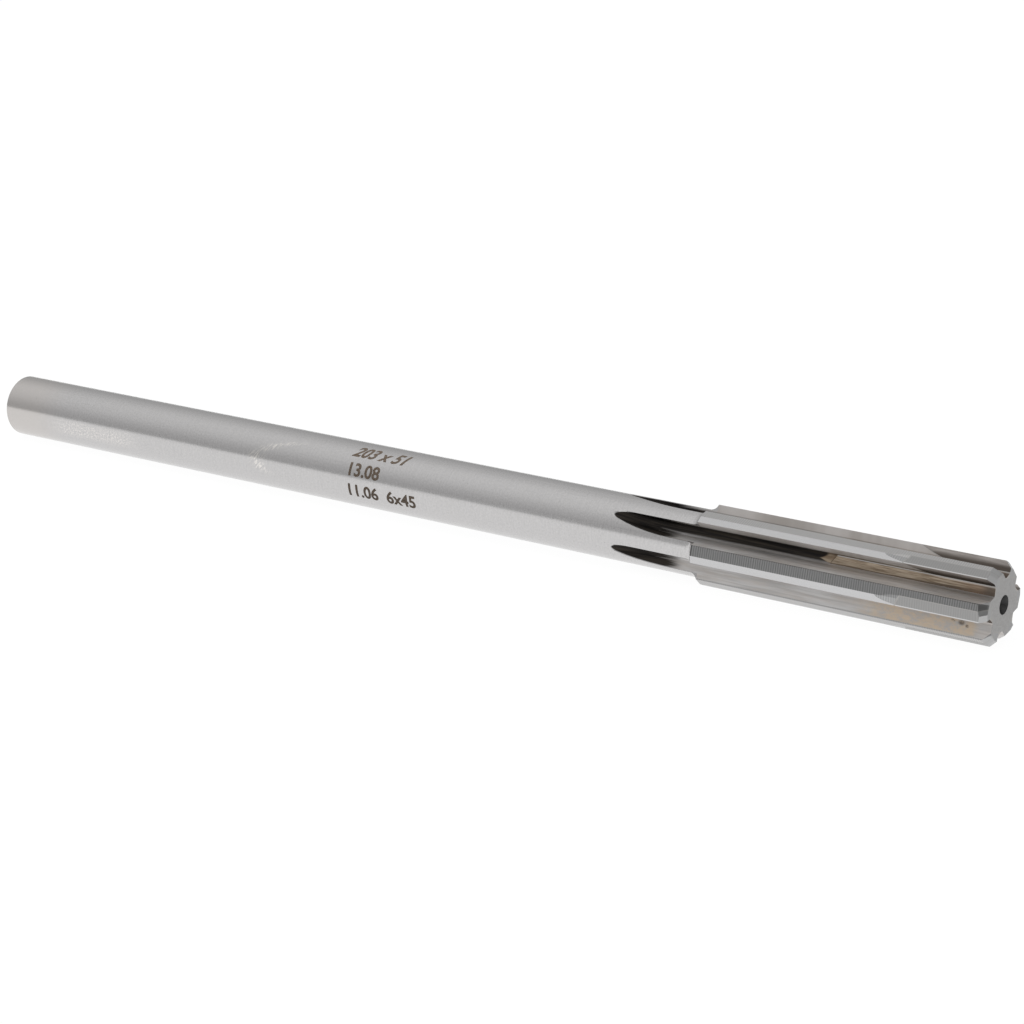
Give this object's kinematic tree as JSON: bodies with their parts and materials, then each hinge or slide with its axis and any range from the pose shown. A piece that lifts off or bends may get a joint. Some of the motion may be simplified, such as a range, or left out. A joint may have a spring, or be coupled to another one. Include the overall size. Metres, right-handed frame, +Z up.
{
  "type": "machine reamer",
  "caption": "Straight-flute machine reamer with a plain ground shank, a fluted cutting head of slightly larger diameter and brazed carbide tips.",
  "frame": {"origin": "centre of the shank's flat end face, on the tool's axis", "axes": "+X along the tool's axis from the shank end to the cutting end; +Z up as the tool lies on two teeth with a flute facing straight down; +Y across"},
  "size_m": [0.2032, 0.013, 0.0122],
  "materials": {
    "ground_steel": "ground bare tool steel, fine marks round the shank, heat tint in the flutes",
    "carbide": "diamond-ground cemented carbide, darker and duller than the steel",
    "braze": "bronze-coloured braze, smeared and heat tinted"
  },
  "bodies": {
    "root": {"reamer_body": "ground_steel", "carbide_tip_1": "carbide", "braze_seam_1": "braze", "carbide_tip_2": "carbide", "braze_seam_2": "braze", "carbide_tip_3": "carbide", "braze_seam_3": "braze", "carbide_tip_4": "carbide", "braze_seam_4": "braze", "carbide_tip_5": "carbide", "braze_seam_5": "braze", "carbide_tip_6": "carbide", "braze_seam_6": "braze"}
  },
  "joints": []
}
